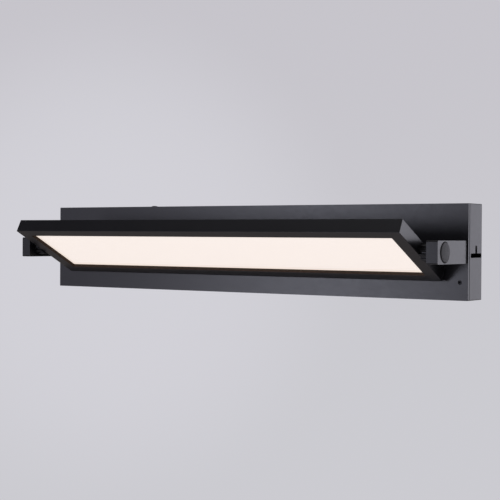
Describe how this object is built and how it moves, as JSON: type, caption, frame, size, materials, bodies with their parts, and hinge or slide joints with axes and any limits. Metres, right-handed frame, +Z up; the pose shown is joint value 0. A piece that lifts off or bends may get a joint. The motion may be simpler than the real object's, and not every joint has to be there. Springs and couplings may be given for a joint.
{
  "type": "picture light",
  "caption": "Wall-hung LED picture light: shallow rectangular canopy, block arms at its ends and a flat glowing head tilting between them.",
  "frame": {"origin": "on the wall, at the middle of the wall bracket's back face", "axes": "+X along the canopy, +Y into the wall, +Z up; the front faces -Y"},
  "size_m": [0.6102, 0.1472, 0.1094],
  "materials": {
    "black_paint": "matt powder coat",
    "black_inside": "matt powder coat on sheet steel",
    "cap_plastic": "finely textured",
    "black_screw": "black oxide, satin",
    "zinc_steel": "bright zinc plate",
    "green_steel": "green zinc, satin",
    "opal_diffuser": "opal, lit warm white",
    "clear_guide": "polished acrylic",
    "white_film": "matt white film",
    "grey_foam": "closed-cell foam",
    "led_board": "white solder mask with small LEDs",
    "driver_case": "satin",
    "nylon": "natural nylon",
    "white_lead": "smooth insulation",
    "black_lead": "smooth insulation",
    "green_lead": "smooth insulation"
  },
  "bodies": {
    "canopy": {"wall_bracket": "black_inside", "ground_screw": "green_steel", "ground_lead": "green_lead", "canopy_front_plate": "black_paint", "canopy_housing_top": "black_paint", "canopy_housing_bottom": "black_paint", "canopy_end_left": "black_paint", "canopy_end_right": "black_paint", "plate_screw_1": "zinc_steel", "plate_screw_2": "zinc_steel", "plate_screw_3": "zinc_steel", "plate_screw_4": "zinc_steel", "canopy_lock_screw": "black_screw", "canopy_grub_screw": "black_screw", "arm_left": "black_paint", "arm_right": "black_paint", "arm_screw_upper_left": "zinc_steel", "arm_screw_upper_right": "zinc_steel", "arm_screw_lower_left": "zinc_steel", "arm_screw_lower_right": "zinc_steel", "pivot_cap_left": "cap_plastic", "pivot_cap_right": "cap_plastic", "pivot_friction_washer_left": "cap_plastic", "pivot_friction_washer_right": "cap_plastic", "led_driver": "driver_case", "driver_screw_1": "zinc_steel", "driver_screw_2": "zinc_steel", "terminal_block": "nylon", "live_lead": "black_lead", "neutral_lead": "white_lead", "arm_lead": "white_lead"},
    "head": {"head_rail_front": "black_paint", "head_rail_back": "black_paint", "head_end_left": "black_paint", "head_end_right": "black_paint", "head_back_cover": "black_inside", "head_cover_screw_1": "black_screw", "head_cover_screw_2": "black_screw", "head_cover_screw_3": "black_screw", "head_cover_screw_4": "black_screw", "head_cover_screw_5": "black_screw", "head_cover_screw_6": "black_screw", "diffuser": "opal_diffuser", "light_guide": "clear_guide", "reflector_film": "white_film", "foam_pad": "grey_foam", "led_strip_back": "led_board", "led_strip_front": "led_board", "head_connector": "nylon", "led_lead_back": "white_lead", "led_lead_front": "white_lead", "head_lead": "white_lead", "pivot_hub_left": "black_screw", "pivot_hub_right": "black_screw", "pivot_ring_nut_left": "zinc_steel", "pivot_ring_nut_right": "zinc_steel", "hub_screw_front_left": "zinc_steel", "hub_screw_front_right": "zinc_steel", "hub_screw_back_left": "zinc_steel", "hub_screw_back_right": "zinc_steel"}
  },
  "joints": [
    {"name": "head_tilt", "type": "hinge", "parent": "canopy", "child": "head", "pos_m": [0, -0.0923, 0], "axis": [-1, 0, 0], "range_deg": [0, 125]}
  ]
}
